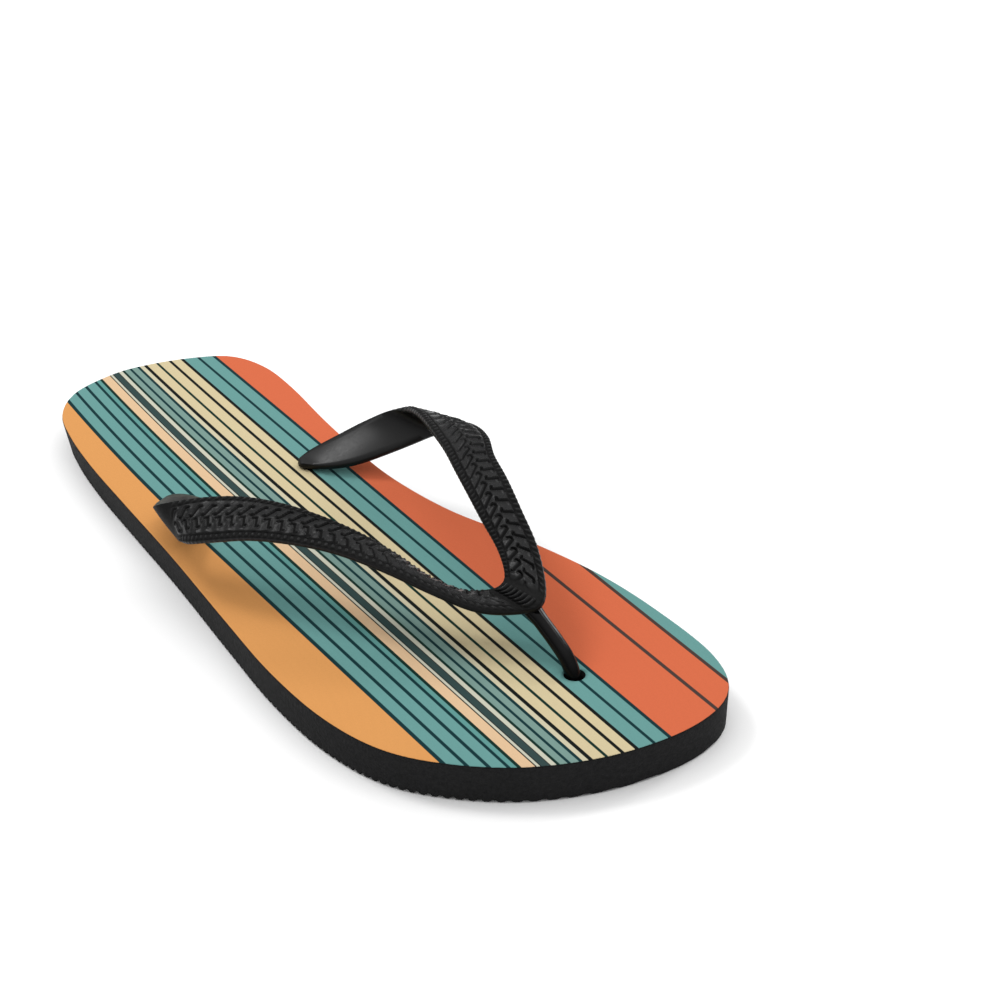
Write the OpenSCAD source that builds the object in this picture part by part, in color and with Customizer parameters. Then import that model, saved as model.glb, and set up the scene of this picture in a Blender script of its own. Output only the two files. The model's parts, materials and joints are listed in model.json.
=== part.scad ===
// Flip flop for the right foot: a foam rubber sole with a printed cloth lining,
// and a moulded Y-shaped thong strap held by three plugs seated in the sole.
// +X points to the outer (lateral) side of the foot, +Y to the toes, +Z up.
// The sole and its lining are each drawn as two halves that meet at the ball
// of the foot, where the sandal flexes.

/* [Sole] */
// Length of the sole, heel to toe
sole_length = 270; // [245:5:300]
// Width of the sole across the ball of the foot
sole_width = 107; // [96:1:118]
// Thickness of the foam rubber
foam_t = 11.4; // [10:0.2:18]
// Thickness of the printed cloth lining
lining_t = 0.8; // [0.6:0.1:1.2]
// Place of the flex line, as a share of the length from the heel
flex_share = 0.637; // [0.61:0.001:0.65]
// Clearance between the two halves at the flex line
flex_gap = 0.3; // [0.2:0.1:0.6]

/* [Tread] */
// Distance between the tread grooves
groove_pitch = 5.4; // [4.5:0.1:9]
// Width of a tread groove
groove_w = 2.2; // [1.5:0.1:3]
// Depth of a tread groove
groove_depth = 0.8; // [0.4:0.1:1.2]

/* [Strap] */
// Thickness of the strap band
band_t = 2.6; // [2:0.1:3.2]
// Height of the arch as a share of the standard one
arch_scale = 1; // [0.9:0.05:1.3]
// Clearance between the nose and each arm
nose_gap = 0.3; // [0.2:0.1:0.5]

/* [Toe post and plugs] */
// Diameter of the toe post
post_d = 4.8; // [4:0.1:5.4]
// Diameter of the toe hole
toe_hole_d = 6.2; // [6.2:0.1:7]
// Bend radius of the toe post
post_bend_r = 8; // [7:0.5:9]
// Lean of the toe post's upper part, from upright
post_lean = 62; // [58:1:64]
// Diameter of the side stems
stem_d = 5.4; // [4.5:0.1:6]
// Clearance round a side stem, on the diameter
stem_clearance = 0.2; // [0.1:0.05:0.4]
// Diameter of a plug's disc
disc_d = 15; // [13:0.5:17]
// Thickness of a plug's disc
disc_t = 3; // [2.4:0.2:3.6]
// How far a disc sits up inside the underside
disc_recess = 0.8; // [0.4:0.1:1.2]
// Clearance round a disc, on the diameter
disc_clearance = 0.6; // [0.4:0.1:1]

/* [Hidden] */

foam_colour = [0.12, 0.12, 0.12];
strap_colour = [0.09, 0.09, 0.1];
lining_colour = [0.42, 0.64, 0.6];

// The pattern below is drawn for this size and scaled to the sizes above.
pattern_length = 270;
pattern_width = 107;
scale_x = sole_width / pattern_width;
scale_y = sole_length / pattern_length;
top_z = foam_t + lining_t;
// The strap reaches further out on the inner side of the foot than the sole
// does on the outer side, so the middle of the whole part is off the pattern's.
centre_x = -2.05;
shift = [-centre_x * scale_x, -sole_length / 2, 0];
$fn = 64;

// Outline of the sole, anticlockwise from the back of the heel.
outline_points = [
    [-10, 0], [6, 3], [17, 12.5], [23, 27], [28, 47], [32.5, 72],
    [38.5, 107], [46, 145], [51.5, 175], [53.4, 202], [50, 224], [40, 241],
    [24, 256], [2, 266.5], [-22, 269.9], [-40, 264.5], [-49.5, 249],
    [-53, 222], [-53, 195], [-48.5, 166], [-42.5, 142], [-40.5, 120],
    [-41.5, 100], [-46, 71], [-51, 46], [-52.5, 28], [-48, 14.5],
    [-36, 6.5], [-22, 1.5]
];
outline_steps = 5;

// Each station of the strap is its inner edge and its outer edge, as
// [x, y, height above the lining]. The stations run from the nose, over the
// arch, round the outward fold and down to the plug.
medial_stations = [
    [[-15, 198, 17.5], [-18.2, 212.4, 18]],
    [[-18.7, 190, 20], [-26, 199.4, 22]],
    [[-21.5, 180.5, 22.5], [-31.5, 186, 25.5]],
    [[-25, 170, 25], [-37, 173, 28]],
    [[-29.5, 158, 26.8], [-42.5, 160.5, 28]],
    [[-34, 147, 27.8], [-49, 150, 27]],
    [[-39, 134, 27.2], [-54, 139, 23.4]],
    [[-44.5, 121, 24.6], [-57, 129, 19]],
    [[-48.5, 110, 20.6], [-56.5, 122, 14.7]],
    [[-47.5, 103.5, 17.5], [-52, 118, 12.5]],
    [[-44.4, 99.1, 14.2], [-46.4, 114.4, 10]],
    [[-40.3, 95.2, 10.8], [-39.5, 110.4, 7.4]],
    [[-35.4, 91.9, 7.5], [-33.5, 106, 4.7]],
    [[-30.3, 89.2, 4.7], [-28.2, 101, 2.8]],
    [[-26.5, 87.5, 2.6], [-24, 95.5, 1.8]],
    [[-23.4, 87.8, 1.7], [-21.5, 91.7, 1.6]]
];
lateral_stations = [
    [[-8.5, 198.5, 13.5], [-9, 213.2, 13.6]],
    [[-3, 192.5, 12.5], [0.5, 206, 14.5]],
    [[2.5, 184.5, 15.5], [8.5, 195.5, 18.5]],
    [[5.8, 174.5, 19.5], [15, 183, 22]],
    [[10, 163.5, 23], [21.5, 168.5, 23.8]],
    [[15.5, 153, 26], [28.5, 156.5, 24]],
    [[21, 141, 27], [35.5, 144.5, 22.5]],
    [[27, 128.5, 25.8], [42, 133.5, 19]],
    [[34, 117.5, 23], [44.6, 126.2, 16]],
    [[40.6, 106.9, 19], [41.2, 117.9, 11.5]],
    [[38.6, 100.1, 14.5], [37.2, 113.1, 9]],
    [[32.6, 93.7, 10.6], [31.1, 108.1, 7]],
    [[26.6, 88.8, 7.5], [22.7, 102.5, 4.6]],
    [[20.9, 87, 4.8], [16.6, 98, 2.8]],
    [[16.8, 87.2, 2.6], [13.6, 95.2, 1.8]],
    [[14.6, 89.6, 1.7], [13.2, 93.6, 1.6]]
];
// The nose joins the first stations of the two arms round the toe post.
nose_middle = [[-11.9, 201.2, 15.6], [-12.6, 217, 15.6]];
strap_steps = 3;

// The toe post starts to bend below the lining, and ends inside the nose.
post_bend_depth = 2.4;
post_run = 19.5;
post_sides = 16;
post_bend_steps = 8;
// Heights above the lining of the side stems' ends, inside the arms' tips.
medial_stem_end = 2.2;
lateral_stem_end = 2.2;
// How far cutting shapes run past what they cut.
past = 1;

// Where the three plugs pass through the sole.
toe_hole = [-13, 230.9];
medial_hole = [-25.4, 90.2];
lateral_hole = [15.4, 91.4];

function lay(p) = [p[0] * scale_x, p[1] * scale_y];
function lift(p) = [
    p[0] * scale_x, p[1] * scale_y, top_z + p[2] * arch_scale
];
function unit(v) = v / norm(v);

// A smooth curve through points, by the Catmull-Rom rule.
function spline_point(a, b, c, d, t) = 0.5 * (
    2 * b + (c - a) * t + (2 * a - 5 * b + 4 * c - d) * t * t
    + (3 * b - a - 3 * c + d) * t * t * t);
function closed_spline(p, steps) = [
    for (i = [0 : len(p) - 1], k = [0 : steps - 1])
        spline_point(p[(i + len(p) - 1) % len(p)], p[i],
                     p[(i + 1) % len(p)], p[(i + 2) % len(p)], k / steps)
];
function open_spline(p, steps) = concat([
    for (i = [0 : len(p) - 2], k = [0 : steps - 1])
        spline_point(i == 0 ? 2 * p[0] - p[1] : p[i - 1], p[i], p[i + 1],
                     i == len(p) - 2 ? 2 * p[i + 1] - p[i] : p[i + 2],
                     k / steps)
], [p[len(p) - 1]]);

// One ring of eight points round the band, square across its direction.
function band_ring(a, b, along, t) =
    let (across = unit(b - a), up = unit(cross(across, along)),
         middle = (a + b) / 2, h = norm(b - a) / 2)
    [for (c = [[-h, 0.2], [0.3 * t - h, 0.5], [h - 0.3 * t, 0.5], [h, 0.2],
               [h, -0.2], [h - 0.3 * t, -0.5], [0.3 * t - h, -0.5],
               [-h, -0.2]])
        middle + across * c[0] + up * c[1] * t];

// A closed solid through rings that all have the same number of points.
module ring_solid(rings) {
    n = len(rings[0]);
    last = len(rings) - 1;
    sides = [
        for (i = [0 : last - 1], j = [0 : n - 1])
            let (a = i * n + j, b = i * n + (j + 1) % n)
            each [[a, b + n, b], [a, a + n, b + n]]
    ];
    start_cap = [for (j = [1 : n - 2]) [0, j, j + 1]];
    end_cap = [for (j = [1 : n - 2]) [last * n, last * n + j + 1, last * n + j]];
    polyhedron([for (ring = rings) each ring],
               concat(sides, start_cap, end_cap));
}

// The whole strap as rings, from the medial arm's tip through the nose to
// the lateral arm's tip.
medial_count = len(medial_stations);
lateral_count = len(lateral_stations);
strap_stations = concat(
    [for (i = [medial_count - 1 : -1 : 0]) medial_stations[i]],
    [nose_middle], lateral_stations);
inner_edge = open_spline([for (s = strap_stations) lift(s[0])], strap_steps);
outer_edge = open_spline([for (s = strap_stations) lift(s[1])], strap_steps);
middle_line = (inner_edge + outer_edge) / 2;
strap_end = len(middle_line) - 1;
nose_start = (medial_count - 1) * strap_steps;
nose_end = (medial_count + 1) * strap_steps;

function strap_direction(i) = unit(
    middle_line[min(i + 1, strap_end)] - middle_line[max(i - 1, 0)]);
// Ring i of the strap, moved along the strap by a distance.
function strap_ring(i, along = 0) =
    let (direction = strap_direction(i), moved = direction * along)
    band_ring(inner_edge[i] + moved, outer_edge[i] + moved, direction,
              band_t);

module outline() {
    polygon([for (p = closed_spline(outline_points, outline_steps)) lay(p)]);
}

// The part of the outline behind the flex line, or the part ahead of it.
module half_outline(ahead) {
    reach = 2 * sole_length;
    flex = flex_share * sole_length;
    intersection() {
        outline();
        translate([-reach / 2, ahead ? flex + flex_gap / 2
                                     : flex - flex_gap / 2 - reach])
            square(reach);
    }
}

module tread_grooves() {
    reach = 2 * sole_width;
    for (y = [groove_pitch : groove_pitch : sole_length - groove_pitch])
        translate([-reach / 2, y - groove_w / 2, -past])
            cube([reach, groove_w, past + groove_depth]);
}

// A through hole for a stem, with a pocket in the underside for its disc.
module plug_pocket(place, hole_d) {
    translate(lay(place)) {
        translate([0, 0, -past])
            cylinder(d = hole_d, h = top_z + 2 * past);
        translate([0, 0, -past])
            cylinder(d = disc_d + disc_clearance,
                     h = past + disc_recess + disc_t);
    }
}

module rear_sole() {
    color(foam_colour) difference() {
        linear_extrude(foam_t) half_outline(false);
        tread_grooves();
        plug_pocket(medial_hole, stem_d + stem_clearance);
        plug_pocket(lateral_hole, stem_d + stem_clearance);
    }
}

module front_sole() {
    color(foam_colour) difference() {
        linear_extrude(foam_t) half_outline(true);
        tread_grooves();
        plug_pocket(toe_hole, toe_hole_d);
    }
}

module lining_half(ahead, holes, hole_d) {
    color(lining_colour) difference() {
        translate([0, 0, foam_t]) linear_extrude(lining_t) half_outline(ahead);
        for (place = holes)
            translate(lay(place))
                cylinder(d = hole_d, h = top_z + past);
    }
}

module rear_lining() {
    lining_half(false, [medial_hole, lateral_hole], stem_d + stem_clearance);
}

module front_lining() {
    lining_half(true, [toe_hole], toe_hole_d);
}

module medial_strap_arm() {
    color(strap_colour) ring_solid(concat(
        [for (i = [0 : nose_start - 1]) strap_ring(i)],
        [strap_ring(nose_start, -nose_gap)]));
}

module lateral_strap_arm() {
    color(strap_colour) ring_solid(concat(
        [strap_ring(nose_end, nose_gap)],
        [for (i = [nose_end + 1 : strap_end]) strap_ring(i)]));
}

module strap_nose() {
    color(strap_colour)
        ring_solid([for (i = [nose_start : nose_end]) strap_ring(i)]);
}

// One ring of the toe post, square across its lean, with a point every
// 360 / post_sides degrees.
function post_ring(y, z, lean) = [
    for (j = [0 : post_sides - 1])
        let (a = 360 * j / post_sides, side = post_d / 2 * sin(a))
        [post_d / 2 * cos(a), y + side * cos(lean), z + side * sin(lean)]
];

// The post stands straight in its hole, bends back and runs up to the nose.
module toe_post() {
    foot_z = disc_recess + disc_t;
    bend_z = top_z - post_bend_depth;
    leans = [for (i = [0 : post_bend_steps]) post_lean * i / post_bend_steps];
    run = post_run * scale_y;
    end_y = post_bend_r * (cos(post_lean) - 1) - run * sin(post_lean);
    end_z = bend_z + post_bend_r * sin(post_lean) + run * cos(post_lean);
    rings = concat(
        [post_ring(0, foot_z, 0)],
        [for (lean = leans)
            post_ring(post_bend_r * (cos(lean) - 1),
                      bend_z + post_bend_r * sin(lean), lean)],
        [post_ring(end_y, end_z, post_lean)]);
    color(strap_colour) translate(lay(toe_hole)) ring_solid(rings);
}

// A disc with a shallow dimple in its lower face, and a stem if it has one.
module plug(place, stem_top) {
    color(strap_colour) translate(lay(place)) difference() {
        union() {
            translate([0, 0, disc_recess]) cylinder(d = disc_d, h = disc_t);
            if (stem_top > 0)
                translate([0, 0, disc_recess + disc_t])
                    cylinder(d = stem_d, h = stem_top - disc_recess - disc_t);
        }
        cylinder(d = disc_d / 2, h = disc_recess + disc_t / 4);
    }
}

module toe_plug() {
    plug(toe_hole, 0);
}

module medial_plug() {
    plug(medial_hole, top_z + medial_stem_end * arch_scale);
}

module lateral_plug() {
    plug(lateral_hole, top_z + lateral_stem_end * arch_scale);
}

translate(shift) rear_sole();
translate(shift) front_sole();
translate(shift) rear_lining();
translate(shift) front_lining();
translate(shift) medial_strap_arm();
translate(shift) lateral_strap_arm();
translate(shift) strap_nose();
translate(shift) toe_post();
translate(shift) toe_plug();
translate(shift) medial_plug();
translate(shift) lateral_plug();
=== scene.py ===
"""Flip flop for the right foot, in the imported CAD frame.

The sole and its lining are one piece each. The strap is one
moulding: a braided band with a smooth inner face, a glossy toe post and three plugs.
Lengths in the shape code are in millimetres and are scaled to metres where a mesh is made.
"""
import json
import math

import bpy
import numpy as np
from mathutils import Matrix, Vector


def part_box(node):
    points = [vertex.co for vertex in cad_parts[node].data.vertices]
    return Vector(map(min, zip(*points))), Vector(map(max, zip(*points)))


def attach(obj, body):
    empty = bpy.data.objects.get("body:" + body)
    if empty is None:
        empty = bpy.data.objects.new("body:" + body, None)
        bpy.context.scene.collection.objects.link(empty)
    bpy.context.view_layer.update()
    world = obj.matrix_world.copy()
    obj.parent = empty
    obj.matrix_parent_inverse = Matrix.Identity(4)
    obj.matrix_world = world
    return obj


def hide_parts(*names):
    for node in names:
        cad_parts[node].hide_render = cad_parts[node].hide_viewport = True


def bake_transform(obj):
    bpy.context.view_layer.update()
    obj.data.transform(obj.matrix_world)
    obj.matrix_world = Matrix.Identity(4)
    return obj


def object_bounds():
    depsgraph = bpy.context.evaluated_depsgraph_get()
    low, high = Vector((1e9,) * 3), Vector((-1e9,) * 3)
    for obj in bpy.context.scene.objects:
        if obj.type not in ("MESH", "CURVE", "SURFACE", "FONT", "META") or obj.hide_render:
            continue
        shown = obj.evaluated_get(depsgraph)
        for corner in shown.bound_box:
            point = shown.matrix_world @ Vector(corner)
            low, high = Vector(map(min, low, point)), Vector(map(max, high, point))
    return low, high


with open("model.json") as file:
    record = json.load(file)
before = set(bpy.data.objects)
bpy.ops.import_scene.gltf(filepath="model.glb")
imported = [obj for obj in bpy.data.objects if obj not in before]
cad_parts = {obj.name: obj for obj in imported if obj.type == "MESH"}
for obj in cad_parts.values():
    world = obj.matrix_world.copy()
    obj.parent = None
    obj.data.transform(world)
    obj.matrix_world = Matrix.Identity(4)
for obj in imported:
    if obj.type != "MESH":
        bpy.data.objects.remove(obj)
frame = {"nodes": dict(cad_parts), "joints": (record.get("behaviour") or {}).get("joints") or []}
cad_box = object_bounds()

MM = 0.001
REAR, FRONT = "rear_half", "front_half"

# ---- places read from the CAD frame ----------------------------------------------------------


def middle_mm(node):
    """The middle of a CAD node's box, in millimetres."""
    low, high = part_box(node)
    return np.array((low + high) / 2) / MM


def high_mm(node):
    """The upper corner of a CAD node's box, in millimetres."""
    return np.array(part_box(node)[1]) / MM


SOLE_TOP = high_mm("front_lining")[2]
HOLES = {place: middle_mm(place + "_plug") for place in ("toe", "medial", "lateral")}
DISC_RADIUS = high_mm("toe_plug")[0] - HOLES["toe"][0]
DISC_LOW, DISC_HIGH = (corner.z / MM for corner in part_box("toe_plug"))
FLEX = np.array(frame["joints"][0]["pos_m"]) / MM

# The strap's stations are written from the back of the heel and from the lining's upper face.
# ORIGIN takes them into the CAD frame.
TOE_HOLE_STATION = np.array((-13.0, 230.9))
ORIGIN = np.array((*(HOLES["toe"][:2] - TOE_HOLE_STATION), SOLE_TOP))

# ---- sizes ----------------------------------------------------------------------------------

LINING_T = 0.4            # thickness of the printed cloth
LINING_ROW = 2.0          # distance between its mesh's cross rows
TREAD_PITCH = 2.7         # from one ridge of the tread to the next
TREAD_DEPTH = 1.2
ROWS_PER_RIDGE = 8
HEEL_TAPER, TOE_TAPER = 2.3, 0.4     # how far the wall leans in towards the ground
GROUND_ROUND = 0.8        # rounding of the sole's lower edge
HOLE_RADII = {"toe": 3.1, "medial": 2.8, "lateral": 2.8}
HOLE_RIM, CUT_RIM = 4.0, 0.4   # CAD points this near to a hole or the flex line aren't outline
POCKET_RADIUS = DISC_RADIUS + 0.3

BAND_T = 2.5              # thickness of the strap's band
BAND_LIP = 0.45           # how far its faces stand in from that at the edges
STATION_STEPS = 12        # curve points from one station of the strap to the next
STRAP_SMOOTHING = 1.6     # how far the strap's curves are blurred along it
RING_STEP = 0.28          # distance between its mesh's rings
BRAID_PITCH = {"medial": 4.8, "lateral": 4.0}   # from one strand of the braid to the next
BEAD_PITCH = 1.95
BEAD_INSET, BEAD_REACH = 1.05, 0.8   # middle of a row of beads from the edge, and half its width
NOSE_RIDGE_PITCH = 1.8
NOSE_RIDGE_AT = 1.6       # middle of the ridges, along the strap from the nose
BRAID_HEIGHT, BEAD_HEIGHT, NOSE_RIDGE_HEIGHT = 0.75, 0.55, 0.75
PLAIN_RELIEF = 0.4        # what the rubber's shader reads where there is no relief
RETURN_FROM = 109.5       # along the strap, where its arms have turned under and grow smooth
RETURN_FADE = 4.0         # and over how much further

# Each station is the strap's two edges there: the one nearer the heel, then the other.
MEDIAL = [
    ((-15, 198, 17.5), (-18.2, 212.4, 18)), ((-18.7, 190, 20), (-26, 199.4, 22)),
    ((-21.5, 180.5, 22.5), (-31.5, 186, 25.5)), ((-25, 170, 25), (-37, 173, 28)),
    ((-29.5, 158, 26.8), (-42.5, 160.5, 28)), ((-34, 147, 27.8), (-49, 150, 27)),
    ((-39, 134, 27.2), (-54, 139, 23.4)), ((-44.5, 121, 24.6), (-57, 129, 19)),
    ((-48.5, 110, 20.6), (-56.5, 122, 14.7)), ((-47.5, 103.5, 17.5), (-52, 118, 12.5)),
    ((-44.4, 99.1, 14.2), (-46.4, 114.4, 10)), ((-40.3, 95.2, 10.8), (-39.5, 110.4, 7.4)),
    ((-35.4, 91.9, 7.5), (-33.5, 106, 4.7)), ((-30.3, 89.2, 4.7), (-28.2, 101, 2.8)),
    ((-26.5, 87.5, 2.6), (-24, 95.5, 1.8)), ((-23.4, 87.8, 1.7), (-21.5, 91.7, 1.6)),
]
LATERAL = [
    ((-8.5, 198.5, 13.5), (-9, 213.2, 13.6)), ((-3, 192.5, 12.5), (0.5, 206, 14.5)),
    ((2.5, 184.5, 15.5), (8.5, 195.5, 18.5)), ((5.8, 174.5, 19.5), (15, 183, 22)),
    ((10, 163.5, 23), (21.5, 168.5, 23.8)), ((15.5, 153, 26), (28.5, 156.5, 24)),
    ((21, 141, 27), (35.5, 144.5, 22.5)), ((27, 128.5, 25.8), (42, 133.5, 19)),
    ((34, 117.5, 23), (44.6, 126.2, 16)), ((40.6, 106.9, 19), (41.2, 117.9, 11.5)),
    ((38.6, 100.1, 14.5), (37.2, 113.1, 9)), ((32.6, 93.7, 10.6), (31.1, 108.1, 7)),
    ((26.6, 88.8, 7.5), (22.7, 102.5, 4.6)), ((20.9, 87, 4.8), (16.6, 98, 2.8)),
    ((16.8, 87.2, 2.6), (13.6, 95.2, 1.8)), ((14.6, 89.6, 1.7), (13.2, 93.6, 1.6)),
]
NOSE = ((-11.9, 201.2, 15.6), (-12.6, 217, 15.6))

# ---- small helpers ---------------------------------------------------------------------------


def new_piece(name, verts, faces, materials, face_slots=None, sharp_deg=40):
    """A smooth-shaded mesh object. verts are in millimetres in the CAD frame."""
    mesh = bpy.data.meshes.new(name)
    mesh.from_pydata((np.asarray(verts) * MM).tolist(), [], [list(map(int, f)) for f in faces])
    for material in materials:
        mesh.materials.append(material)
    if face_slots is not None:
        mesh.polygons.foreach_set("material_index", np.asarray(face_slots, dtype=np.int32))
    mesh.polygons.foreach_set("use_smooth", np.ones(len(mesh.polygons), dtype=bool))
    mesh.update()
    mesh.validate()
    mesh.set_sharp_from_angle(angle=math.radians(sharp_deg))
    obj = bpy.data.objects.new(name, mesh)
    bpy.context.scene.collection.objects.link(obj)
    return obj


def catmull_rom(points, steps, closed=False):
    """A smooth curve through points, with steps points to each stretch."""
    p = np.asarray(points, dtype=float)
    if closed:
        p = np.vstack((p[-1:], p, p[:2]))
    else:
        p = np.vstack((2 * p[0] - p[1], p, 2 * p[-1] - p[-2]))
    t = (np.arange(steps) / steps)[:, None]
    out = []
    for a, b, c, d in zip(p[:-3], p[1:-2], p[2:-1], p[3:]):
        out.append(0.5 * (2 * b + (c - a) * t + (2 * a - 5 * b + 4 * c - d) * t * t
                          + (3 * b - a - 3 * c + d) * t ** 3))
    if not closed:
        out.append(p[-2:-1])
    return np.vstack(out)


def smooth_step(x, low, high):
    """0 below low, 1 above high, and a smooth rise between them."""
    t = np.clip((x - low) / (high - low), 0, 1)
    return t * t * (3 - 2 * t)


def unit(v):
    return v / np.linalg.norm(v, axis=-1, keepdims=True)


def ring_faces(rings, count):
    """Quads between neighbouring closed rings of count points."""
    faces = []
    for i in range(rings - 1):
        for j in range(count):
            a, b = i * count + j, i * count + (j + 1) % count
            faces.append((a, b, b + count, a + count))
    return faces


def revolve(profile, centre, sides=48):
    """A closed solid turned about a vertical axis. profile is (radius, height) from bottom to top."""
    turns = np.arange(sides) * 2 * math.pi / sides
    x, y = centre[:2]
    verts = [(x, y, profile[0][1])]
    for radius, height in profile:
        verts += [(x + radius * math.cos(t), y + radius * math.sin(t), height) for t in turns]
    verts.append((x, y, profile[-1][1]))
    last = len(verts) - 1
    faces = [tuple(k + 1 for k in f) for f in ring_faces(len(profile), sides)]
    faces += [(0, 1 + (j + 1) % sides, 1 + j) for j in range(sides)]
    top = 1 + (len(profile) - 1) * sides
    faces += [(last, top + j, top + (j + 1) % sides) for j in range(sides)]
    return verts, faces


def rounded_disc(radius, low, high, corner, steps=4):
    """(radius, height) points up the side of a disc with round edges."""
    turn = np.linspace(0, math.pi / 2, steps + 1)
    inner = radius - corner
    side = [(inner + corner * math.sin(a), low + corner - corner * math.cos(a)) for a in turn]
    side += [(inner + corner * math.cos(a), high - corner + corner * math.sin(a)) for a in turn]
    return side


def cut_away(obj, cutters):
    """Takes cutters, which are (verts, faces) pairs, out of obj's mesh."""
    for verts, faces in cutters:
        tool = new_piece("cutter", verts, faces, [])
        boolean = obj.modifiers.new("cut", "BOOLEAN")
        boolean.operation, boolean.solver, boolean.object = "DIFFERENCE", "EXACT", tool
        evaluated = obj.evaluated_get(bpy.context.evaluated_depsgraph_get())
        mesh = bpy.data.meshes.new_from_object(evaluated)
        obj.modifiers.clear()
        obj.data = mesh
        bpy.data.objects.remove(tool)
    obj.data.name = obj.name


# ---- materials -------------------------------------------------------------------------------


class Shader:
    """Builds one node material, with short calls for the nodes used here.

    A value given to one of them is a number, a colour or another node's output.
    """

    def __init__(self, name, roughness, specular=0.5):
        self.material = bpy.data.materials.new(name)
        self.material.use_nodes = True
        self.tree = self.material.node_tree
        self.bsdf = self.tree.nodes["Principled BSDF"]
        self.bsdf.inputs["Roughness"].default_value = roughness
        self.bsdf.inputs["Specular IOR Level"].default_value = specular

    def node(self, kind, inputs=(), **settings):
        made = self.tree.nodes.new(kind)
        for key, value in settings.items():
            setattr(made, key, value)
        for key, value in dict(inputs).items():
            self.feed(made.inputs[key], value)
        return made

    def feed(self, socket, value):
        if isinstance(value, bpy.types.NodeSocket):
            self.tree.links.new(value, socket)
        else:
            socket.default_value = value

    def math(self, operation, a, b=0.0, c=0.0):
        return self.node("ShaderNodeMath", {0: a, 1: b, 2: c}, operation=operation).outputs[0]

    def map_range(self, value, low, high, to_low=0.0, to_high=1.0, smooth=False):
        return self.node(
            "ShaderNodeMapRange",
            {"Value": value, "From Min": low, "From Max": high, "To Min": to_low, "To Max": to_high},
            interpolation_type="SMOOTHSTEP" if smooth else "LINEAR").outputs["Result"]

    def mix(self, factor, a, b, blend="MIX"):
        made = self.node("ShaderNodeMix", {"Factor": factor}, data_type="RGBA", blend_type=blend)
        self.feed(made.inputs[6], a)
        self.feed(made.inputs[7], b)
        return made.outputs[2]

    def noise(self, vector, scale, detail=2.0, roughness=0.5):
        made = self.node("ShaderNodeTexNoise", {
            "Vector": vector, "Scale": scale, "Detail": detail, "Roughness": roughness})
        return made.outputs["Fac"]

    def bump(self, height, distance, strength=1.0):
        made = self.node("ShaderNodeBump", {
            "Height": height, "Distance": distance, "Strength": strength})
        self.set("Normal", made.outputs["Normal"])

    def place(self):
        """The point on the object, in metres."""
        return self.node("ShaderNodeTexCoord").outputs["Object"]

    def set(self, name, value):
        self.feed(self.bsdf.inputs[name], value)


def srgb(r, g, b):
    """Linear colour, with alpha, of an 8-bit sRGB one."""
    def linear(v):
        v /= 255
        return v / 12.92 if v <= 0.04045 else ((v + 0.055) / 1.055) ** 2.4
    return (linear(r), linear(g), linear(b), 1.0)


ORANGE, CORAL, PEACH = srgb(229, 161, 93), srgb(223, 112, 74), srgb(233, 198, 158)
TEAL, BRIGHT_TEAL, GREY_TEAL = srgb(108, 161, 157), srgb(98, 157, 152), srgb(126, 158, 150)
SAND, PALE_SAND, STONE = srgb(220, 204, 163), srgb(214, 206, 176), srgb(208, 208, 189)
SLATE, DARK_TEAL, DARK_GREEN = srgb(52, 74, 73), srgb(8, 52, 56), srgb(4, 46, 38)
INK, BROWN_GREY = srgb(8, 17, 16), srgb(74, 60, 55)

# The print, from the inner side of the foot to the outer: where each field of colour starts, in
# millimetres across the sole, and its colour.
PRINT_FIELDS = [
    (-60.0, TEAL), (-59.5, CORAL), (-29.9, TEAL), (-19.3, SAND), (-5.7, PALE_SAND),
    (-3.1, GREY_TEAL), (2.8, STONE), (4.9, SLATE), (7.3, STONE), (8.4, PEACH),
    (12.0, BRIGHT_TEAL), (14.8, TEAL), (28.4, ORANGE),
]
# The lines drawn over the fields: middle, width and colour.
PRINT_LINES = [
    (-59.5, 1.2, BROWN_GREY), (-48.6, 1.25, BROWN_GREY), (-29.9, 1.15, DARK_TEAL),
    (-24.7, 1.0, DARK_TEAL), (-19.2, 1.15, INK), (-14.9, 1.1, INK), (-10.2, 0.95, DARK_GREEN),
    (-5.8, 1.25, INK), (-3.15, 1.0, DARK_TEAL), (-0.05, 0.9, DARK_TEAL), (2.8, 0.9, DARK_GREEN),
    (4.8, 0.3, INK), (7.15, 0.3, INK), (8.35, 0.4, INK), (12.35, 1.05, DARK_GREEN),
    (14.8, 1.0, DARK_TEAL), (19.15, 1.1, DARK_TEAL), (23.8, 1.1, DARK_TEAL),
    (28.6, 1.3, DARK_TEAL),
]
LINE_BLUR = 0.09          # softness of a printed edge
THREAD = 0.6              # distance between the cloth's threads
UV_PER_MM = 0.001


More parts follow.
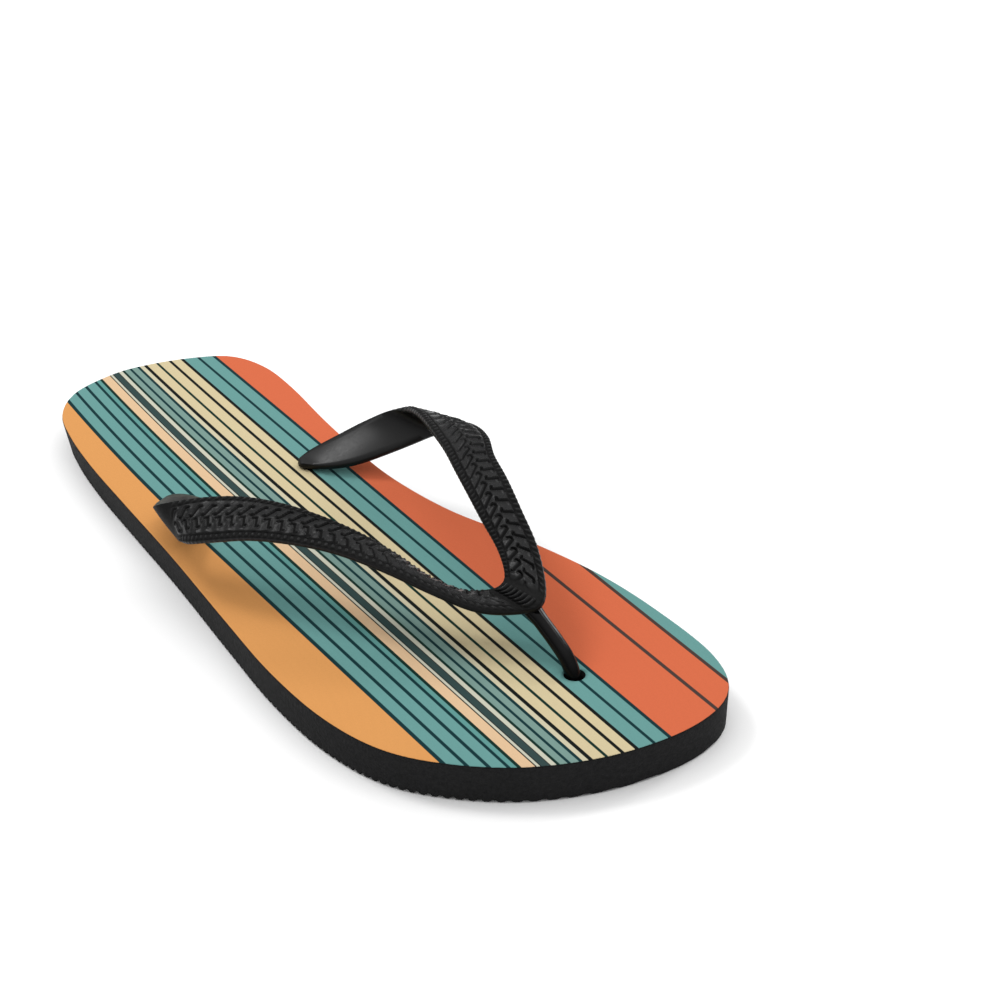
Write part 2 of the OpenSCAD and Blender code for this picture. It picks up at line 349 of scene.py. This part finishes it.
def printed_cloth():
    """Striped print on a fine twill. The UV map says where a point is in the flat print."""
    s = Shader("printed_cloth", 0.82, 0.12)
    uv = s.node("ShaderNodeUVMap", uv_map="print").outputs["UV"]
    split = s.node("ShaderNodeSeparateXYZ", {0: uv})
    across = s.math("MULTIPLY", split.outputs["X"], 1 / UV_PER_MM)
    along = s.math("MULTIPLY", split.outputs["Y"], 1 / UV_PER_MM)
    colour = PRINT_FIELDS[0][1]
    for start, field in PRINT_FIELDS[1:]:
        edge = s.map_range(across, start - LINE_BLUR, start + LINE_BLUR, smooth=True)
        colour = s.mix(edge, colour, field)
    for centre, width, ink in PRINT_LINES:
        away = s.math("ABSOLUTE", s.math("SUBTRACT", across, centre))
        half = width / 2
        inside = s.map_range(away, half - LINE_BLUR, half + LINE_BLUR, 1.0, 0.0, smooth=True)
        colour = s.mix(inside, colour, ink)
    threads = twill_height(s, across, along)
    flat = s.node("ShaderNodeCombineXYZ", {0: across, 1: along}).outputs[0]
    fibres = s.noise(flat, 1.7, 3.0, 0.6)
    shade = s.math("MULTIPLY_ADD", threads, 0.34, 0.61)
    shade = s.math("MULTIPLY_ADD", fibres, 0.1, s.math("SUBTRACT", shade, 0.04))
    grey = s.node("ShaderNodeCombineColor", {0: shade, 1: shade, 2: shade}).outputs[0]
    s.set("Base Color", s.mix(1.0, colour, grey, "MULTIPLY"))
    s.set("Roughness", s.map_range(threads, 0.0, 1.0, 0.9, 0.76))
    s.bump(threads, 0.00006, 0.6)
    return s.material


def twill_height(s, across, along):
    """Height of the weave, 0 to 1: diagonal ribs with the threads across them."""
    turn = 2 * math.pi / THREAD
    diagonal = s.math("SINE", s.math("MULTIPLY", s.math("ADD", across, along), turn))
    thread = s.math("SINE", s.math("MULTIPLY", across, turn * 2))
    both = s.math("MULTIPLY_ADD", thread, 0.35, diagonal)
    return s.map_range(both, -1.35, 1.35)


def foam_rubber():
    """Matt black closed-cell foam: fine pits and faint mottling."""
    s = Shader("foam_rubber", 0.85, 0.16)
    place = s.place()
    cells = s.node("ShaderNodeTexVoronoi", {"Vector": place, "Scale": 1700.0}).outputs["Distance"]
    grain = s.noise(place, 900.0, 4.0, 0.65)
    cloud = s.noise(place, 45.0, 3.0)
    tone = s.map_range(s.math("MULTIPLY_ADD", cloud, 0.35, grain), 0.3, 0.95)
    s.set("Base Color", s.mix(tone, (0.005, 0.005, 0.0052, 1), (0.013, 0.013, 0.0135, 1)))
    s.set("Roughness", s.map_range(grain, 0.2, 0.8, 0.93, 0.74))
    s.bump(s.math("MULTIPLY_ADD", grain, 0.8, cells), 0.00022, 0.7)
    return s.material


def braided_rubber():
    """The strap's outer face: black moulding, dull and with painted shade in the grooves, shinier on
    the strands.
    """
    s = Shader("braided_rubber", 0.42, 0.16)
    place = s.place()
    grain = s.noise(place, 1500.0, 3.0, 0.6)
    cloud = s.noise(place, 120.0, 3.0)
    height = s.node("ShaderNodeAttribute", attribute_name="relief").outputs["Fac"]
    strand_vs_shaded_groove = s.map_range(height, 0.12, 0.55, smooth=True)
    # Base colour far darker in the grooves than on the strands: painted shade in the recesses.
    s.set("Base Color", s.mix(strand_vs_shaded_groove, (0.0006, 0.0006, 0.0006, 1), (0.0075, 0.0075, 0.0078, 1)))
    rough = s.math("MULTIPLY_ADD", strand_vs_shaded_groove, -0.38, s.map_range(grain, 0.2, 0.8, 0.74, 0.6))
    s.set("Roughness", s.math("MULTIPLY_ADD", cloud, 0.16, s.math("SUBTRACT", rough, 0.08)))
    s.bump(s.math("MULTIPLY_ADD", cloud, 2.5, grain), 0.00013, 0.7)
    return s.material


def satin_rubber():
    """The strap's inner face: smooth, softly shiny, with faint brushing."""
    s = Shader("satin_rubber", 0.36, 0.2)
    place = s.place()
    stretched = s.node("ShaderNodeMapping", {"Vector": place, "Scale": (1.0, 6.0, 6.0)}).outputs[0]
    brushed = s.noise(stretched, 260.0, 4.0, 0.6)
    cloud = s.noise(place, 70.0, 2.0)
    s.set("Base Color", s.mix(cloud, (0.003, 0.003, 0.0032, 1), (0.006, 0.006, 0.0063, 1)))
    s.set("Roughness", s.map_range(brushed, 0.25, 0.75, 0.26, 0.38))
    s.bump(brushed, 0.00002, 0.15)
    return s.material


def glossy_rubber():
    """The toe post and plugs: smooth polished moulding with a faint orange peel."""
    s = Shader("glossy_rubber", 0.2, 0.12)
    place = s.place()
    peel = s.noise(place, 420.0, 2.0)
    scuffs = s.noise(place, 130.0, 5.0, 0.7)
    s.set("Base Color", s.mix(scuffs, (0.0015, 0.0015, 0.0015, 1), (0.003, 0.003, 0.0032, 1)))
    s.set("Roughness", s.map_range(scuffs, 0.35, 0.7, 0.14, 0.26))
    s.bump(peel, 0.00004, 0.4)
    return s.material


# ---- sole and lining --------------------------------------------------------------------------


def outline_from_cad():
    """Points round the sole, anticlockwise, from the upper faces of the two CAD linings."""
    found = set()
    for node in ("rear_lining", "front_lining"):
        for v in frame["nodes"][node].data.vertices:
            x, y, z = v.co / MM
            at_hole = any(math.hypot(x - h[0], y - h[1]) < HOLE_RIM for h in HOLES.values())
            at_cut = abs(y - FLEX[1]) <= CUT_RIM
            if z > SOLE_TOP - 0.01 and not at_hole and not at_cut:
                found.add((round(x, 3), round(y, 3)))
    return np.array(sorted(found, key=lambda p: math.atan2(p[1], p[0])))


class Outline:
    """The sole's outline as its two long sides, each read by its y."""

    def __init__(self):
        curve = catmull_rom(outline_from_cad(), 6, closed=True)
        curve = np.roll(curve, -int(np.argmin(curve[:, 1])), axis=0)
        tip = int(np.argmax(curve[:, 1]))
        self.low, self.high = curve[0, 1], curve[tip, 1]
        self.sides = {"right": curve[:tip + 1], "left": np.vstack((curve[tip:], curve[:1]))[::-1]}

    def edge(self, side, y):
        """The side's point at y and its inward direction."""
        line = self.sides[side]
        along = unit(np.gradient(line, axis=0))
        columns = (line[:, 0], along[:, 0], along[:, 1])
        x, along_x, along_y = (np.interp(y, line[:, 1], column) for column in columns)
        inward = (-along_y, along_x) if side == "right" else (along_y, -along_x)
        return np.array((x, y)), np.array(inward)


TIP = 3.5                 # the length of the sole's round ends where the mesh rows crowd together
TIP_STEPS = [0.0125 * (k - 0.9) ** 2 for k in range(1, 18)]   # their places from the very end


def row_places(outline, step):
    """Where a slab's cross rows lie: evenly along its body, and closer at both ends."""
    body = np.arange(outline.low + TIP, outline.high - TIP, step)
    return np.concatenate(([outline.low + t for t in TIP_STEPS], body,
                           [outline.high - t for t in reversed(TIP_STEPS)]))


def slab(outline, rows, wall, columns_low, columns_high):
    """A closed slab of cross rows. wall(y) gives the (height, inset) steps up its side."""
    verts = []
    for y in rows:
        steps = wall(y)
        (right, right_in), (left, left_in) = outline.edge("right", y), outline.edge("left", y)
        up = [(*(right + right_in * inset), z) for z, inset in steps]
        down = [(*(left + left_in * inset), z) for z, inset in reversed(steps)]
        low = np.linspace(down[-1], up[0], columns_low + 2)[1:-1]
        high = np.linspace(up[-1], down[0], columns_high + 2)[1:-1]
        verts += [*low, *up, *high, *down]
    count = len(verts) // len(rows)
    faces = ring_faces(len(rows), count)
    faces.append(tuple(range(count))[::-1])
    faces.append(tuple(range(len(verts) - count, len(verts))))
    return np.array(verts), [f[::-1] for f in faces]


def tread_height(y):
    """How far the underside stands off the ground: rounded ridges across the sole."""
    wave = 0.45 - 0.9 * math.cos(2 * math.pi * y / TREAD_PITCH)
    toe = float(smooth_step(cad_box[1].y / MM - y, 2.0, 40.0))
    return TREAD_DEPTH * (0.6 + 0.4 * toe) * min(1.0, max(0.0, wave))


def sole_wall(y):
    """Steps up the side of the foam: a round lower edge, a leaning wall and a crisp upper edge."""
    share = (y - cad_box[0].y / MM) / ((cad_box[1].y - cad_box[0].y) / MM)
    taper = HEEL_TAPER + (TOE_TAPER - HEEL_TAPER) * float(smooth_step(share, 0.0, 0.85))
    top = SOLE_TOP - LINING_T
    steps = []
    for a in np.linspace(0, math.pi / 2, 5):
        z = GROUND_ROUND * (1 - math.cos(a))
        steps.append((z, taper * (1 - z / top) + GROUND_ROUND * (1 - math.sin(a))))
    steps += [(z, taper * (1 - z / top)) for z in (0.3 * top, 0.55 * top, 0.8 * top, top - 0.25)]
    steps += [(top - 0.06, 0.05), (top, 0.16)]
    ground = tread_height(y)
    return [(max(z, ground + 0.1 * z), inset) for z, inset in steps]


def cylinder_cutter(name, radius, low, high):
    """An upright cylinder on the middle of the named hole."""
    return revolve([(radius, low), (radius, high)], HOLES[name], 56)


def foam_sole(outline):
    """The slab of foam, with its three holes and the pockets under them."""
    rows = row_places(outline, TREAD_PITCH / ROWS_PER_RIDGE)
    verts, faces = slab(outline, rows, sole_wall, columns_low=26, columns_high=14)
    obj = new_piece("foam_sole", verts, faces, [foam_rubber()], sharp_deg=50)
    cutters = []
    for name, radius in HOLE_RADII.items():
        cutters.append(cylinder_cutter(name, radius, -1, SOLE_TOP + 1))
        cutters.append(cylinder_cutter(name, POCKET_RADIUS, -1, DISC_HIGH))
    cut_away(obj, cutters)
    return obj


def lining_wall(_):
    """Steps up the cloth's cut edge, which are the same at every y."""
    low = SOLE_TOP - LINING_T
    return [(low, 0.16), (low + 0.05, 0.1), (SOLE_TOP - 0.12, 0.1), (SOLE_TOP - 0.03, 0.16),
            (SOLE_TOP, 0.3)]


# The print runs a little across the sole, and curves near the heel. These are in millimetres from
# the back of the heel, along the foot.
PRINT_MIDDLE = 130.0                      # where the print's places across the sole are true
PRINT_SLOPE, PRINT_SPREAD = 0.1158, -0.000072   # its run across and its widening, for each one along
BEND_FROM = 100.0                         # the curve starts here and grows towards the heel
BEND, BEND_SPREAD = -0.208, -0.008        # the same two for it, for each thousand square


def print_place(x, y):
    """Where a point of the lining, in the CAD frame, lies in the flat print."""
    x, y = x - ORIGIN[0], y - ORIGIN[1]
    run = y - PRINT_MIDDLE
    bend = max(0.0, BEND_FROM - y) ** 2 / 1000
    across = (x - PRINT_SLOPE * run - BEND * bend) / (1 + PRINT_SPREAD * run + BEND_SPREAD * bend)
    return across * UV_PER_MM, y * UV_PER_MM


def lining(outline):
    """The cloth: the print on its upper face, and black where its edges and back show."""
    rows = row_places(outline, LINING_ROW)
    verts, faces = slab(outline, rows, lining_wall, columns_low=8, columns_high=40)
    obj = new_piece("printed_lining", verts, faces, [printed_cloth(), foam_rubber()], sharp_deg=50)
    cut_away(obj, [cylinder_cutter(name, r, 0, SOLE_TOP + 1) for name, r in HOLE_RADII.items()])
    mesh = obj.data
    layer = mesh.uv_layers.new(name="print")
    for loop in mesh.loops:
        co = mesh.vertices[loop.vertex_index].co / MM
        layer.data[loop.index].uv = print_place(co.x, co.y)
    for polygon in mesh.polygons:
        polygon.material_index = 0 if polygon.normal.z > 0.5 else 1
    return obj


# ---- strap ------------------------------------------------------------------------------------


def blurred(values, sigma_steps):
    """values smoothed along the first axis, with its ends kept."""
    reach = int(4 * sigma_steps)
    kernel = np.exp(-0.5 * (np.arange(-reach, reach + 1) / sigma_steps) ** 2)
    kernel /= kernel.sum()
    first, last = values[:1], values[-1:]
    padded = np.vstack((2 * first - values[reach:0:-1], values, 2 * last - values[-2:-reach - 2:-1]))
    return np.stack([np.convolve(c, kernel, "valid") for c in padded.T], axis=1)


def run_along(line):
    """How far each point of a line is along it."""
    return np.concatenate(([0], np.cumsum(np.linalg.norm(np.diff(line, axis=0), axis=1))))


class Strap:
    """The band from the medial tip over the nose to the lateral tip, as rings RING_STEP apart.

    a and b are its two edges, s is the distance along it from the nose, and out is square to it.
    """

    def __init__(self):
        stations = MEDIAL[::-1] + [NOSE] + LATERAL
        a = catmull_rom([s[0] for s in stations], STATION_STEPS)
        b = catmull_rom([s[1] for s in stations], STATION_STEPS)
        run = run_along((a + b) / 2)
        even = np.linspace(0, run[-1], int(run[-1] / RING_STEP))
        self.a, self.b = self.edge(a, run, even), self.edge(b, run, even)
        self.s = even - run[STATION_STEPS * len(MEDIAL)]
        self.width = np.linalg.norm(self.b - self.a, axis=1)
        along = unit(np.gradient((self.a + self.b) / 2, axis=0))
        self.out = unit(np.cross(along, unit(self.b - self.a)))

    @staticmethod
    def edge(line, run, even):
        """One edge in the CAD frame, read at even distances and smoothed."""
        picked = np.stack([np.interp(even, run, column) for column in line.T], axis=1)
        return blurred(picked, STRAP_SMOOTHING / RING_STEP) + ORIGIN


def distance_to_line(x, y, line):
    """Distance from points x, y to a bent line."""
    best = np.full(np.broadcast(x, y).shape, np.inf)
    for (ax, ay), (bx, by) in zip(line[:-1], line[1:]):
        dx, dy = bx - ax, by - ay
        t = np.clip(((x - ax) * dx + (y - ay) * dy) / (dx * dx + dy * dy), 0, 1)
        best = np.minimum(best, np.hypot(x - ax - t * dx, y - ay - t * dy))
    return best


# The braid's grooves are hooked at both ends. Each is drawn from its hook beside the middle of
# the strap to its hook beside the beads, as (along the strap, out from the middle), at DRAWN_PITCH.
# The half of an arm nearer the heel is side -1, and the other half is side 1.
DRAWN_PITCH = 4.8
GROOVE_HALF = 0.38        # half a groove's width
SHORT_GROOVE = [(1.4, 0.6), (0.75, 0.3), (0.3, 0.75), (-0.9, 3.5), (-1.4, 3.9), (-2.0, 3.8)]
GROOVES = {
    ("medial", -1): [(2.0, 1.7), (2.05, 1.0), (1.6, 0.5), (0.8, 0.55), (-2.3, 3.2), (-3.0, 3.5),
                     (-3.1, 4.2)],
    ("medial", 1): SHORT_GROOVE,
    ("lateral", -1): SHORT_GROOVE,
    ("lateral", 1): [(1.9, 1.1), (1.6, 0.5), (0.9, 0.5), (-0.9, 3.4), (-1.5, 3.9), (-2.1, 3.7)],
}


def braid(s, w):
    """Height, 0 to 1, of the braid: broad strands parted by narrow hooked grooves.

    s is along the strap from the nose, negative on the medial arm, and w across it from the middle.
    """
    height = np.zeros(np.broadcast(s, w).shape)
    for (arm, side), groove in GROOVES.items():
        out = side * w
        turns = np.abs(s) / BRAID_PITCH[arm] + (0.5 if side > 0 else 0.0)
        place = turns % 1.0 * DRAWN_PITCH
        near = np.full(height.shape, np.inf)
        for copy in (-1, 0, 1, 2):
            near = np.minimum(near, distance_to_line(place - copy * DRAWN_PITCH, out, groove))
        swell = 0.5 + 0.5 * np.cos(2 * math.pi * (place + 0.9 * out + 1.6) / DRAWN_PITCH)
        strand = 0.5 + 0.38 * swell
        rim = 0.35 * np.exp(-((near - 0.66) / 0.24) ** 2)
        strand = strand + rim - strand * np.exp(-(near / GROOVE_HALF) ** 4)
        on_arm = (s < 0) == (arm == "medial")
        height = np.where(on_arm & (out >= 0), strand, height)
    return height


def beads(s, w, half):
    """Height, 0 to 1, of the row of slanting beads along each edge."""
    place = (np.abs(w) - (half - BEAD_INSET)) / BEAD_REACH
    row = np.sqrt(np.clip(1 - place ** 2, 0, 1))
    turn = 2 * math.pi * (np.abs(s) + 0.3 * place) / BEAD_PITCH
    seen = 1 - smooth_step(np.abs(s), RETURN_FROM, RETURN_FROM + RETURN_FADE)
    return row * seen * np.clip(0.2 + 0.9 * np.cos(turn), 0, 1) ** 0.5


def nose_ridges(s, w, half):
    """Height, 0 to 1, of the short ridges moulded over the nose."""
    length = 1 - smooth_step(np.abs(s - NOSE_RIDGE_AT), 1.9, 2.9)
    inside = 1 - smooth_step(np.abs(w), half - 1.6, half - 0.9)
    wave = np.cos(2 * math.pi * w / NOSE_RIDGE_PITCH)
    return length * inside * np.clip(0.35 + 0.8 * wave, 0, 1) ** 0.6


def relief(strap, w):
    """Relief of the outer face in millimetres, one row for each ring. w is across from the middle.

    The braid keeps to the field between the beads, away from the nose and from both tips, and
    stops where the arms have turned under. Beads and nose ridges fade where the band is narrow.
    """
    s, half = strap.s[:, None], strap.width[:, None] / 2
    field = 1 - smooth_step(np.abs(w), half - 2.5, half - 2.1)
    away = smooth_step(np.abs(s - NOSE_RIDGE_AT), 3.2, 7.0)
    tips = smooth_step(strap.s[-1] - s, 3, 14) * smooth_step(s - strap.s[0], 3, 14)
    wide = smooth_step(half, 2.6, 4.0)
    turned = smooth_step(np.abs(s), RETURN_FROM, RETURN_FROM + RETURN_FADE)
    height = BRAID_HEIGHT * braid(s, w) * field * away * tips * (1 - turned)
    height += BEAD_HEIGHT * beads(s, w, half) * wide * (0.25 + 0.75 * away)
    return height + NOSE_RIDGE_HEIGHT * nose_ridges(s, w, half) * wide


OUTER_COLUMNS, INNER_COLUMNS, EDGE_COLUMNS = 58, 8, 3   # of mesh points across each face and edge


def band_rings(strap):
    """Points of every ring, outer face first, and the relief's height at each of them."""
    half = strap.width[:, None] / 2
    outer = np.linspace(-1, 1, OUTER_COLUMNS)[None, :] * (half - 0.25)
    crown = 0.5 * (1 - (outer / half) ** 2) * smooth_step(half, 3, 7)
    raised = relief(strap, outer)
    outer_n = BAND_T / 2 - BAND_LIP + crown + raised
    turn = np.linspace(0, math.pi, EDGE_COLUMNS + 2)[1:-1]
    bulge = 0.25 + 0.12 * beads(strap.s[:, None], half - BEAD_INSET, half)
    side_w = half - 0.25 + bulge * np.sin(turn)[None, :]
    side_n = np.repeat((np.cos(turn) * (BAND_T / 2 - BAND_LIP))[None, :], len(half), 0)
    inner = np.linspace(1, -1, INNER_COLUMNS)[None, :] * (half - 0.35)
    belly = 0.55 * (1 - (inner / half) ** 2) * smooth_step(half, 3, 7)
    inner_n = -(BAND_T / 2 - 0.3) - belly
    w = np.hstack((outer, side_w, inner, -side_w))
    n = np.hstack((outer_n, side_n, inner_n, side_n[:, ::-1]))
    share = 0.5 + w / strap.width[:, None]
    centre = strap.a[:, None, :] + (strap.b - strap.a)[:, None, :] * share[:, :, None]
    plain = np.full((len(half), w.shape[1] - OUTER_COLUMNS), PLAIN_RELIEF)
    height = np.hstack((raised, plain))
    return centre + strap.out[:, None, :] * n[:, :, None], height


TIP_RINGS = [0.86, 0.6, 0.25]   # sizes of the shrinking rings that round off each tip
TIP_STEP = 0.4                  # distance between them


def tip_cap(ring, next_ring):
    """The rings beyond an end ring, nearest first."""
    middle = ring.mean(axis=0)
    step = unit(ring - next_ring).mean(axis=0) * TIP_STEP
    return np.array([middle + step * (k + 1) + (ring - middle) * f for k, f in enumerate(TIP_RINGS)])


def thong_strap():
    """The band of the strap, braided outside and smooth inside, with both tips rounded off."""
    rings, height = band_rings(Strap())
    first, last = tip_cap(rings[0], rings[1])[::-1], tip_cap(rings[-1], rings[-2])
    rings = np.concatenate((first, rings, last))
    plain = np.full((len(TIP_RINGS), height.shape[1]), PLAIN_RELIEF)
    height = np.concatenate((plain, height, plain))
    count = rings.shape[1]
    faces = ring_faces(len(rings), count)
    inner_face = range(OUTER_COLUMNS + EDGE_COLUMNS - 1, count - EDGE_COLUMNS)
    slots = [1 if f[0] % count in inner_face else 0 for f in faces] + [0, 0]
    faces += [tuple(range(count))[::-1], tuple(range((len(rings) - 1) * count, len(rings) * count))]
    obj = new_piece("thong_strap", rings.reshape(-1, 3), faces, [braided_rubber(), satin_rubber()],
                    slots, sharp_deg=60)
    layer = obj.data.attributes.new("relief", "FLOAT", "POINT")
    layer.data.foreach_set("value", height.reshape(-1).astype(np.float32))
    return obj


# The toe post's middle line: distance ahead of the toe hole's middle, and height over the lining.
POST_LINE = [
    (0, -8.4), (0, -6), (0, -4), (-0.15, -2), (-0.9, 0.3), (-2.2, 2.4), (-4.3, 4.7), (-8.3, 7.3),
    (-12.5, 9.6), (-17, 12), (-20.5, 13.9), (-22.5, 14.9),
]
POST_RADIUS = 2.4
POST_SIDES = 40
GUTTER_DEPTH = 0.3
GUTTER_AT, GUTTER_HALF = math.pi * 0.62, 0.22   # angles round the post, in radians


def toe_post():
    """A round post with a shallow gutter along its front, spreading where it meets the nose."""
    line = catmull_rom(POST_LINE, 6)
    along = unit(np.gradient(line, axis=0))
    run = run_along(line)
    hole_x, hole_y = HOLES["toe"][:2]
    verts = []
    for (y, z), (ty, tz), t in zip(line, along, run / run[-1]):
        spread = float(smooth_step(t, 0.72, 1.0))
        depth = GUTTER_DEPTH * smooth_step(t, 0.35, 0.5)
        for k in range(POST_SIDES):
            turn = 2 * math.pi * k / POST_SIDES
            gutter = depth * math.exp(-((turn - GUTTER_AT) / GUTTER_HALF) ** 2)
            r = POST_RADIUS * (0.95 + 0.05 * spread) - gutter
            x = r * math.cos(turn) * (1 + 0.5 * spread)
            up = r * math.sin(turn) * (1 - 0.25 * spread)
            verts.append((hole_x + x, hole_y + y + up * tz, SOLE_TOP + z - up * ty))
    faces = ring_faces(len(line), POST_SIDES)
    faces += [tuple(range(POST_SIDES))[::-1], tuple(range(len(verts) - POST_SIDES, len(verts)))]
    return new_piece("toe_post_moulding", verts, faces, [glossy_rubber()], sharp_deg=60)


def plug(name, place, stem_radius, stem_top):
    """A disc with round edges, a dimple below and a stem that widens into the disc and the strap."""
    low, high = DISC_LOW, DISC_HIGH - 0.05
    dimple = [(0.2, low + 0.8), (2.2, low + 0.75), (3.3, low + 0.35), (4.0, low + 0.05), (4.6, low)]
    stem = [
        (stem_radius + 0.1, high + 0.02), (stem_radius - 0.05, high + 0.5),
        (stem_radius - 0.1, stem_top - 2.2), (stem_radius - 0.35, stem_top - 0.6),
        (stem_radius - 1.2, stem_top),
    ]
    profile = dimple + rounded_disc(DISC_RADIUS, low, high, corner=0.7) + stem
    verts, faces = revolve(profile, HOLES[place])
    return new_piece(name, verts, faces, [glossy_rubber()], sharp_deg=50)


# ---- stage ------------------------------------------------------------------------------------

CAMERA_PLACE = Vector((0.4166, 0.5775, 0.4558))
CAMERA_LOOK = Vector((-0.5481, -0.6590, -0.5150))
CAMERA_LENS = 100.8       # on a 36 mm sensor


def camera():
    data = bpy.data.cameras.new("camera")
    data.lens, data.sensor_width = CAMERA_LENS, 36.0
    obj = bpy.data.objects.new("camera", data)
    obj.location = CAMERA_PLACE
    obj.rotation_euler = (-CAMERA_LOOK).to_track_quat("Z", "Y").to_euler()
    bpy.context.scene.collection.objects.link(obj)
    bpy.context.scene.camera = obj


HORIZON, ZENITH = 0.05, 1.46    # brightness of the surroundings
FLOOR_HALF = 4.0                # metres from its middle to its edges


def soft_light(name, place, aim, size, power):
    """A round lamp of size metres and power watts at place, turned towards aim."""
    data = bpy.data.lights.new(name, "AREA")
    data.shape, data.size, data.energy = "DISK", size, power
    obj = bpy.data.objects.new(name, data)
    obj.location = place
    obj.rotation_euler = (Vector(place) - Vector(aim)).to_track_quat("Z", "Y").to_euler()
    bpy.context.scene.collection.objects.link(obj)


def studio():
    """A pale floor under a bright sky, a light high behind the heel and one on the inner side."""
    paint = Shader("pale_floor", 0.9, 0.1)
    mottle = paint.noise(paint.place(), 3.0)
    paint.set("Base Color", paint.mix(mottle, (0.965, 0.965, 0.965, 1), (0.975, 0.975, 0.975, 1)))
    far = FLOOR_HALF
    corners = [(-far, -far, 0), (far, -far, 0), (far, far, 0), (-far, far, 0)]
    floor = new_piece("floor", np.array(corners) / MM, [(0, 1, 2, 3)], [paint.material])
    sky()
    bpy.context.scene.view_settings.view_transform = "Standard"
    soft_light("key", (0.26, -0.75, 1.1), (0, 0, 0), size=0.42, power=5.0)
    soft_light("rim", (-1.07, 0.0, 0.72), (0, 0, 0.02), size=0.26, power=2.4)


def sky():
    """White surroundings that grow brighter from the horizon to overhead."""
    world = bpy.data.worlds.new("studio")
    world.use_nodes = True
    tree = world.node_tree
    place = tree.nodes.new("ShaderNodeTexCoord").outputs["Generated"]
    split, rise = tree.nodes.new("ShaderNodeSeparateXYZ"), tree.nodes.new("ShaderNodeMapRange")
    tree.links.new(place, split.inputs[0])
    tree.links.new(split.outputs["Z"], rise.inputs["Value"])
    rise.inputs["To Min"].default_value, rise.inputs["To Max"].default_value = HORIZON, ZENITH
    tree.links.new(rise.outputs["Result"], tree.nodes["Background"].inputs["Strength"])
    tree.nodes["Background"].inputs["Color"].default_value = (1.0, 1.0, 1.0, 1.0)
    bpy.context.scene.world = world


# ---- assembly ---------------------------------------------------------------------------------


def build():
    camera()
    studio()
    outline = Outline()
    sole, cloth, strap, post = foam_sole(outline), lining(outline), thong_strap(), toe_post()
    plugs = {
        "toe": plug("toe_plug_disc", "toe", 2.3, DISC_HIGH + 1.2),
        "medial": plug("medial_plug_moulding", "medial", 2.7, high_mm("medial_plug")[2]),
        "lateral": plug("lateral_plug_moulding", "lateral", 2.7, high_mm("lateral_plug")[2]),
    }
    for piece in (sole, cloth):
        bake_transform(piece)
    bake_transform(strap)
    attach(post, FRONT)
    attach(plugs["toe"], FRONT)
    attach(plugs["medial"], REAR)
    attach(plugs["lateral"], REAR)
    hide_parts("rear_sole", "front_sole")
    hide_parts("rear_lining", "front_lining")
    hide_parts("medial_strap_arm", "lateral_strap_arm", "strap_nose")
    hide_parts("toe_post")
    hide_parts("toe_plug")
    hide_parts("medial_plug")
    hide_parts("lateral_plug")


build()
